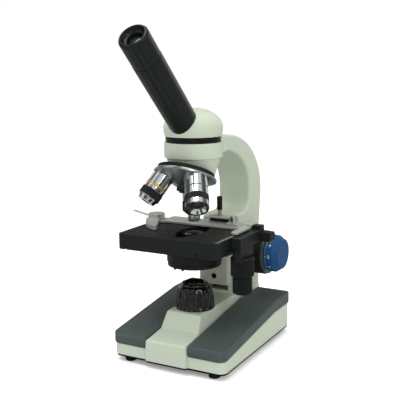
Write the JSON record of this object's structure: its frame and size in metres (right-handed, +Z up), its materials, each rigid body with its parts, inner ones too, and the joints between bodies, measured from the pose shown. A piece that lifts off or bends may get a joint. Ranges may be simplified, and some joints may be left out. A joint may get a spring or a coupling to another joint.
{
  "type": "compound microscope",
  "caption": "Student compound microscope: wedge base, C-shaped arm, tilted monocular head, rotating nosepiece, rack focus and mechanical stage with slide holder.",
  "frame": {"origin": "on the table plane, under the middle of the base casting", "axes": "+Z up, -Y towards the user and eyepiece, +X to the user's right when facing the back of the instrument"},
  "size_m": [0.175, 0.2487, 0.3441],
  "materials": {
    "white_enamel": "fine textured enamel, satin",
    "white_block": "grainy cast, painted",
    "slate_pad": "soft-touch moulded cover",
    "black_plate": "satin black",
    "black_rubber": "matte",
    "gloss_black": "high gloss moulded",
    "satin_black": "satin, ribbed",
    "black_anodised": "black anodised",
    "black_tube": "satin black lacquer",
    "blue_knob": "semi-gloss moulded",
    "steel": "turned",
    "satin_silver": "satin plated",
    "chrome": "polished",
    "brass": "machined",
    "glass": "coated, clear",
    "circuit_board": "solder mask",
    "led": "phosphor",
    "wire": "insulated lead"
  },
  "bodies": {
    "stand": {"base_casting": "white_enamel", "base_pad_left": "slate_pad", "base_pad_right": "slate_pad", "base_plate": "black_plate", "rubber_feet": "black_rubber", "plate_screws": "steel", "arm": "white_enamel", "arm_bolts": "steel", "lamp_housing": "gloss_black", "collector_lens": "glass", "led_module": "led", "driver_board": "circuit_board", "led_leads": "wire", "power_inlet": "satin_black", "switch_frame": "satin_black", "focus_bushes": "brass", "slide_gibs": "steel", "nosepiece_mount": "white_enamel", "nosepiece_bolt": "steel"},
    "rocker": {"switch_rocker": "gloss_black"},
    "coarse_drive": {"coarse_shaft": "steel", "coarse_knob_right": "satin_black", "coarse_knob_left": "satin_black"},
    "fine_drive": {"fine_shaft": "steel", "fine_knob_right": "blue_knob", "fine_knob_left": "blue_knob"},
    "focus_carriage": {"coarse_slide": "steel", "focus_rack": "brass"},
    "stage": {"stage_carrier": "white_block", "carrier_screw": "black_plate", "stage_plate": "black_anodised", "stage_screws": "steel", "condenser_housing": "black_anodised", "condenser_lens": "glass", "iris_blades": "steel", "y_rack": "black_anodised"},
    "iris": {"iris_ring": "satin_black"},
    "y_carriage": {"y_slide": "black_anodised", "x_rail": "satin_silver", "drive_cover": "brass"},
    "y_drive": {"y_knob": "satin_black"},
    "x_drive": {"x_knob": "satin_black"},
    "slide_carriage": {"x_carriage": "satin_silver", "slide_holder": "satin_silver", "clip_spring": "steel"},
    "tall_screw": {"tall_thumbscrew": "satin_black"},
    "short_screw": {"short_thumbscrew": "chrome"},
    "clip": {"clip_finger": "satin_silver"},
    "turret": {"turret_shell": "chrome", "turret_ring": "satin_black", "turret_cap": "gloss_black", "objective_long": "chrome", "objective_medium": "chrome", "objective_short": "chrome", "objective_lenses": "glass"},
    "head": {"head_ring": "gloss_black", "head_dome": "white_enamel", "eyepiece_tube": "black_tube", "head_prism": "glass"},
    "ocular": {"eyepiece": "black_tube"}
  },
  "joints": [
    {"name": "power_switch", "type": "hinge", "parent": "stand", "child": "rocker", "pos_m": [-0.008, 0.0965, 0.0275], "axis": [1, 0, 0], "range_deg": [0, 14]},
    {"name": "coarse_turn", "type": "hinge", "parent": "stand", "child": "coarse_drive", "pos_m": [0, 0.063, 0.097], "axis": [1, 0, 0], "range_deg": [-53.5, 98.5]},
    {"name": "fine_turn", "type": "hinge", "parent": "stand", "child": "fine_drive", "pos_m": [0, 0.063, 0.097], "axis": [1, 0, 0], "range_deg": [-721, 721]},
    {"name": "coarse_travel", "type": "slide", "parent": "stand", "child": "focus_carriage", "axis": [0, 0, 1], "range_m": [-0.012, 0.0065]},
    {"name": "fine_travel", "type": "slide", "parent": "focus_carriage", "child": "stage", "axis": [0, 0, 1], "range_m": [-0.0005, 0.0005]},
    {"name": "iris_turn", "type": "hinge", "parent": "stage", "child": "iris", "pos_m": [0, -0.0253, 0.1], "axis": [0, 0, 1], "range_deg": [-30, 30]},
    {"name": "stage_y_travel", "type": "slide", "parent": "stage", "child": "y_carriage", "axis": [0, 1, 0], "range_m": [-0.02, 0.006]},
    {"name": "y_knob_turn", "type": "hinge", "parent": "y_carriage", "child": "y_drive", "pos_m": [0.056, -0.024, 0.1], "axis": [0, 0, 1], "range_deg": [-319, 96]},
    {"name": "stage_x_travel", "type": "slide", "parent": "y_carriage", "child": "slide_carriage", "axis": [1, 0, 0], "range_m": [-0.02, 0.02]},
    {"name": "x_knob_turn", "type": "hinge", "parent": "y_carriage", "child": "x_drive", "pos_m": [0.056, -0.024, 0.08], "axis": [0, 0, 1], "range_deg": [-191.5, 191.5]},
    {"name": "tall_screw_turn", "type": "hinge", "parent": "slide_carriage", "child": "tall_screw", "pos_m": [0.0093, 0.016, 0.15], "axis": [0, 0, 1], "continuous": true},
    {"name": "short_screw_turn", "type": "hinge", "parent": "slide_carriage", "child": "short_screw", "pos_m": [0.033, 0.002, 0.145], "axis": [0, 0, 1], "continuous": true},
    {"name": "clip_swing", "type": "hinge", "parent": "slide_carriage", "child": "clip", "pos_m": [-0.06, -0.004, 0.14], "axis": [0, 0, 1], "range_deg": [-35, 0], "stiffness_Nm_per_rad": 0.02, "springref_deg": 20.05},
    {"name": "turret_turn", "type": "hinge", "parent": "stand", "child": "turret", "pos_m": [0, -0.0253, 0.236], "axis": [0, -0.4067, -0.9135], "continuous": true},
    {"name": "head_turn", "type": "hinge", "parent": "stand", "child": "head", "pos_m": [0, -0.0253, 0.235], "axis": [0, 0, 1], "continuous": true},
    {"name": "eyepiece_lift", "type": "slide", "parent": "head", "child": "ocular", "axis": [0, -0.7314, 0.682], "range_m": [0, 0.034]}
  ],
  "couplings": [
    {"joint": "coarse_turn", "follows": "coarse_travel", "rad_per_m": -142.86},
    {"joint": "fine_turn", "follows": "fine_travel", "rad_per_m": -25133},
    {"joint": "y_knob_turn", "follows": "stage_y_travel", "rad_per_m": 277.78},
    {"joint": "x_knob_turn", "follows": "stage_x_travel", "rad_per_m": 166.67}
  ]
}
